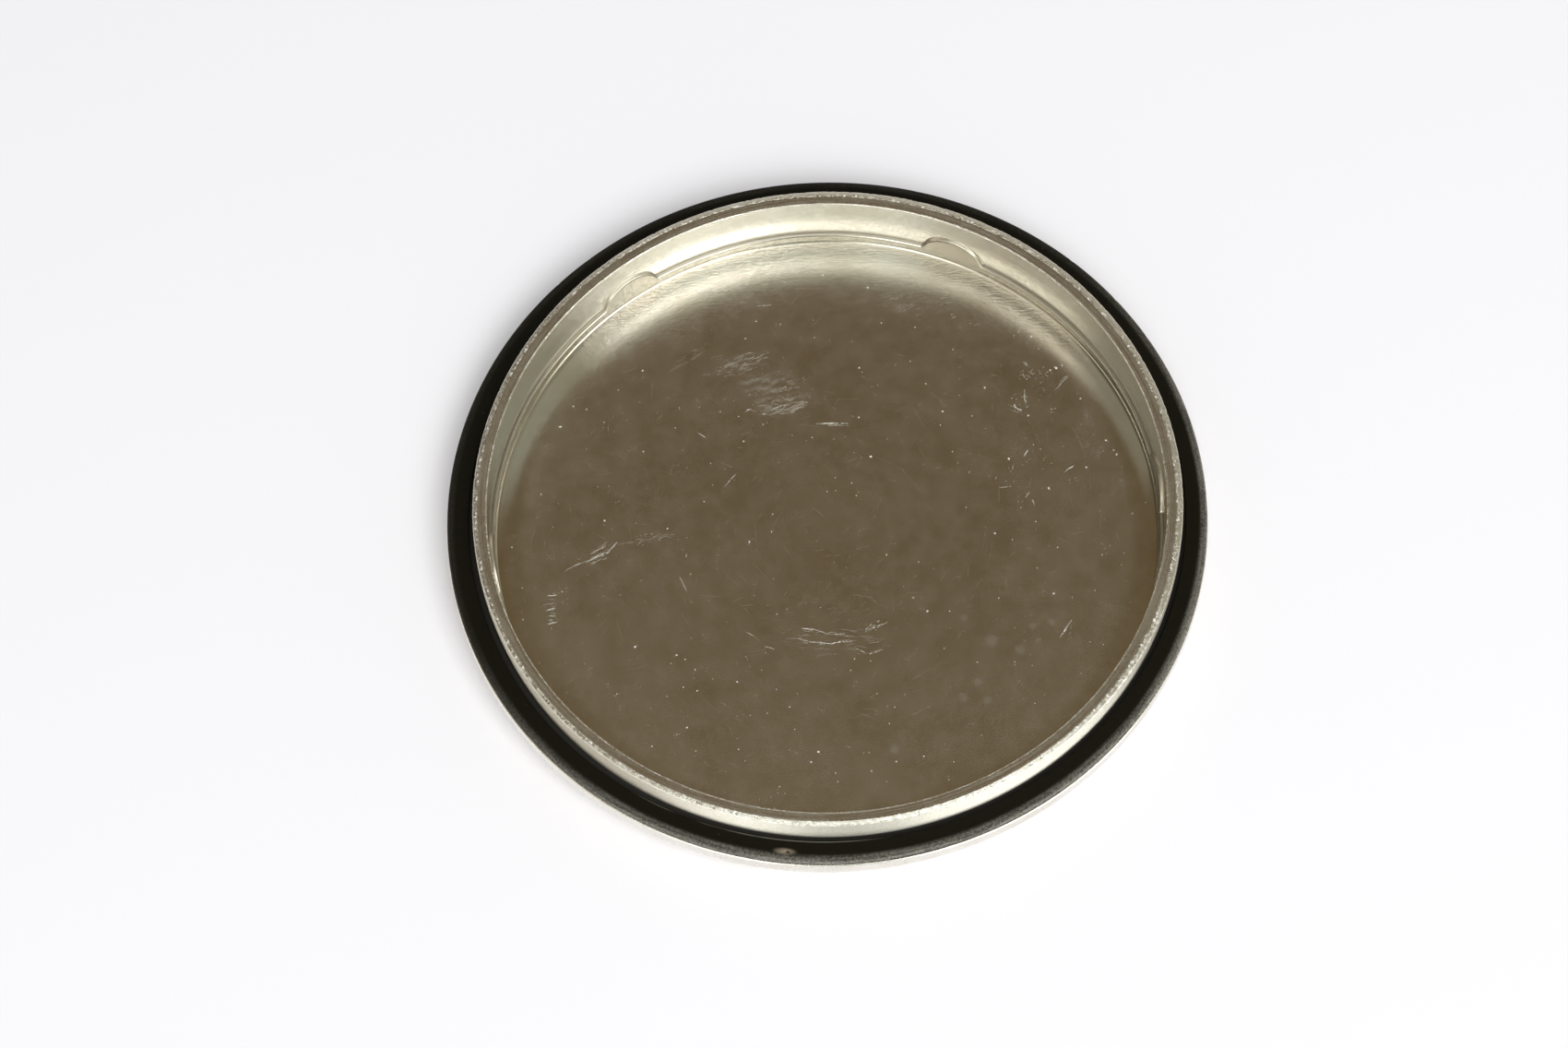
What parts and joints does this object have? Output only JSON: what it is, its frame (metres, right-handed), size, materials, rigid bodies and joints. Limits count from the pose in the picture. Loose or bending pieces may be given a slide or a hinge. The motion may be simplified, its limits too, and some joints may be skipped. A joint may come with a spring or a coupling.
{
  "type": "shoe polish tin",
  "caption": "Open half of a round shallow metal shoe polish tin: curved outer shell, raised polished collar, mirror-bright floor liner with half-moon tabs, and a black sealing ring.",
  "frame": {"origin": "middle of the flat underside, on the tin's turning axis", "axes": "+Z along the turning axis, out of the open side; +Y towards the far side as first seen, +X to the right"},
  "size_m": [0.0724, 0.0724, 0.0076],
  "materials": {
    "shell_metal": "bright tinplate, lightly scratched",
    "collar_metal": "polished, with a worn outer edge",
    "liner_metal": "mirror polished, with fine scratches and specks",
    "seal_rubber": "satin black, outer edge worn grey and dusty"
  },
  "bodies": {
    "tin_half": {"outer_shell": "shell_metal", "collar_ring": "collar_metal", "floor_liner": "liner_metal"},
    "seal": {"sealing_ring": "seal_rubber"}
  },
  "joints": [
    {"name": "seal_lift", "type": "slide", "parent": "tin_half", "child": "seal", "axis": [0, 0, 1], "range_m": [0, 0.012]}
  ]
}
